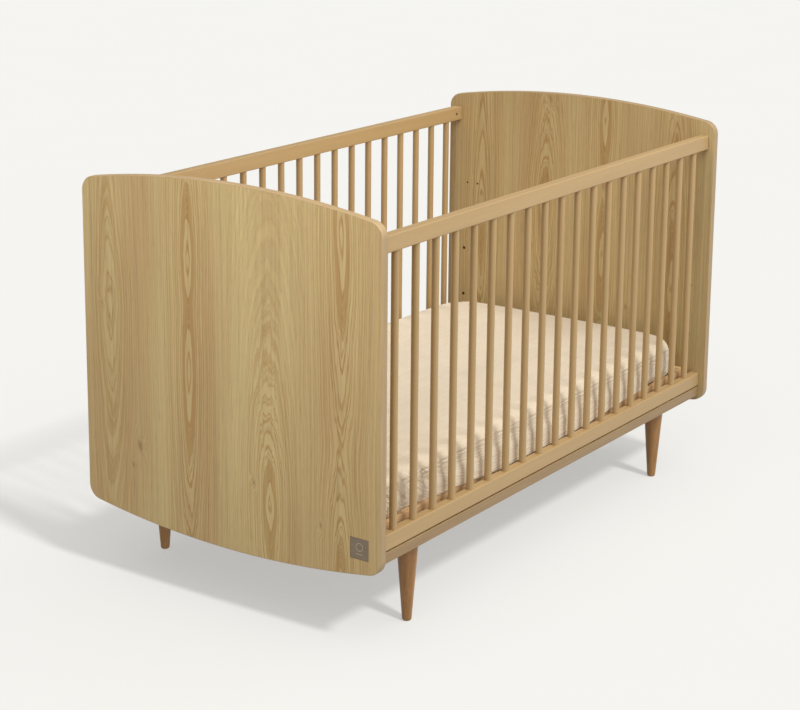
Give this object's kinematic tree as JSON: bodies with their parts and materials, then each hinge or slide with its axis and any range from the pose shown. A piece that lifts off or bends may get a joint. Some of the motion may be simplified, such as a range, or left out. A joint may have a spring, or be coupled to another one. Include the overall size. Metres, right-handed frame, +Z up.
{
  "type": "baby crib",
  "caption": "Free-standing baby crib with bowed solid end panels, spindle sides, tapered legs, a height-adjustable slatted base and a mattress in a fitted sheet.",
  "frame": {"origin": "on the floor, under the centre of the crib's outline", "axes": "+X along the crib's length towards the right end panel, +Y towards the back barrier, +Z up"},
  "size_m": [1.448, 0.788, 0.922],
  "materials": {
    "oak_decor": "satin golden oak decor, with pinkish tan edge bands",
    "beech_lacquer": "clear satin lacquer on pale beech",
    "leg_wood": "warm brown satin lacquer",
    "base_wood": "raw sanded softwood",
    "peg_steel": "plain bright steel",
    "mattress_foam": "foam in a plain white cover",
    "cotton_gauze": "crinkled beige cotton gauze",
    "plate_grey": "matt grey-brown, blank"
  },
  "bodies": {
    "root": {"end_panel_left": "oak_decor", "end_panel_right": "oak_decor", "base_board_front": "oak_decor", "base_board_back": "oak_decor", "front_top_rail": "beech_lacquer", "front_bottom_rail": "beech_lacquer", "back_top_rail": "beech_lacquer", "back_bottom_rail": "beech_lacquer", "front_spindle_01": "beech_lacquer", "front_spindle_02": "beech_lacquer", "front_spindle_03": "beech_lacquer", "front_spindle_04": "beech_lacquer", "front_spindle_05": "beech_lacquer", "front_spindle_06": "beech_lacquer", "front_spindle_07": "beech_lacquer", "front_spindle_08": "beech_lacquer", "front_spindle_09": "beech_lacquer", "front_spindle_10": "beech_lacquer", "front_spindle_11": "beech_lacquer", "front_spindle_12": "beech_lacquer", "front_spindle_13": "beech_lacquer", "front_spindle_14": "beech_lacquer", "front_spindle_15": "beech_lacquer", "front_spindle_16": "beech_lacquer", "front_spindle_17": "beech_lacquer", "front_spindle_18": "beech_lacquer", "front_spindle_19": "beech_lacquer", "back_spindle_01": "beech_lacquer", "back_spindle_02": "beech_lacquer", "back_spindle_03": "beech_lacquer", "back_spindle_04": "beech_lacquer", "back_spindle_05": "beech_lacquer", "back_spindle_06": "beech_lacquer", "back_spindle_07": "beech_lacquer", "back_spindle_08": "beech_lacquer", "back_spindle_09": "beech_lacquer", "back_spindle_10": "beech_lacquer", "back_spindle_11": "beech_lacquer", "back_spindle_12": "beech_lacquer", "back_spindle_13": "beech_lacquer", "back_spindle_14": "beech_lacquer", "back_spindle_15": "beech_lacquer", "back_spindle_16": "beech_lacquer", "back_spindle_17": "beech_lacquer", "back_spindle_18": "beech_lacquer", "back_spindle_19": "beech_lacquer", "leg_front_left": "leg_wood", "leg_front_right": "leg_wood", "leg_back_left": "leg_wood", "leg_back_right": "leg_wood", "support_peg_front_left": "peg_steel", "support_peg_front_right": "peg_steel", "support_peg_back_left": "peg_steel", "support_peg_back_right": "peg_steel", "name_plate": "plate_grey"},
    "mattress_base": {"slat_deck": "base_wood", "base_side_rail_front": "base_wood", "base_side_rail_back": "base_wood"},
    "mattress": {"mattress": "mattress_foam", "fitted_sheet": "cotton_gauze"}
  },
  "joints": [
    {"name": "mattress_base_height", "type": "slide", "parent": "root", "child": "mattress_base", "axis": [0, 0, 1], "range_m": [0, 0.258]},
    {"name": "mattress_lift", "type": "slide", "parent": "mattress_base", "child": "mattress", "axis": [0, 0, 1], "range_m": [0, 0.7]}
  ]
}
